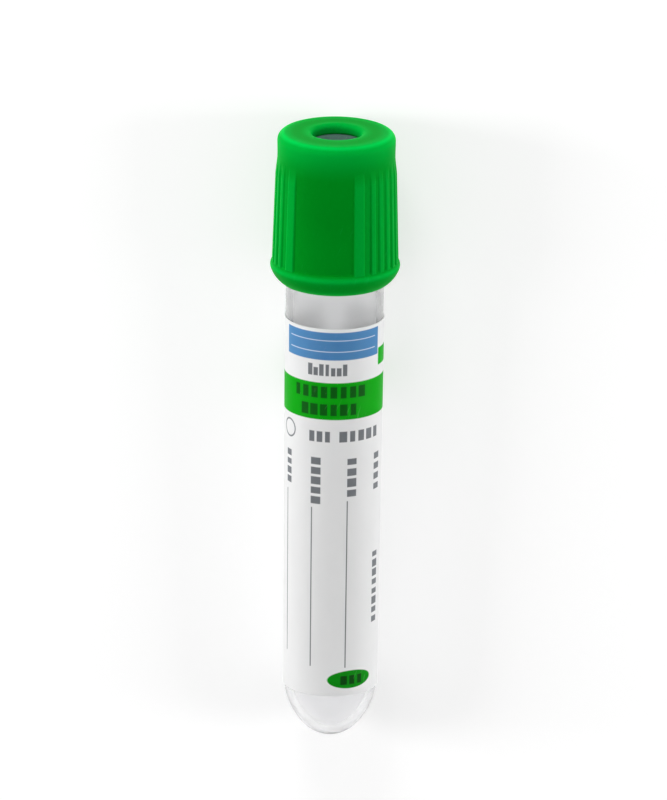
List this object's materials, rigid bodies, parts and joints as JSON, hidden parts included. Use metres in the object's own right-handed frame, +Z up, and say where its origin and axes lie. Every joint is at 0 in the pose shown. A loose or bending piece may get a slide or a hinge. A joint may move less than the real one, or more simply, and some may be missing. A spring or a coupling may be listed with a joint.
{
  "type": "blood collection tube",
  "caption": "Evacuated blood collection tube lying down: clear round-ended tube, wrap label, rubber stopper and ribbed green safety cap with a needle hole.",
  "frame": {"origin": "on the surface that the tube lies on, under the middle of its length", "axes": "+Y along the tube towards the cap, +Z up; the tube's own axis rises by about 2.4 degrees towards the cap, because it lies on the cap's bead and on its own wall"},
  "size_m": [0.017, 0.0836, 0.0171],
  "materials": {
    "clear_plastic": "clear gloss",
    "label_film": "satin film",
    "grey_rubber": "matte",
    "green_plastic": "satin moulded"
  },
  "bodies": {
    "tube": {"tube": "clear_plastic", "label": "label_film"},
    "stopper": {"stopper": "grey_rubber"},
    "cap": {"cap": "green_plastic"}
  },
  "joints": [
    {"name": "closure_pull", "type": "slide", "parent": "tube", "child": "stopper", "axis": [0, 0.9991, 0.0418], "range_m": [0, 0.03]},
    {"name": "cap_turn", "type": "hinge", "parent": "stopper", "child": "cap", "pos_m": [0, 0.03313, 0.00895], "axis": [0, 0.9991, 0.0418], "continuous": true}
  ]
}
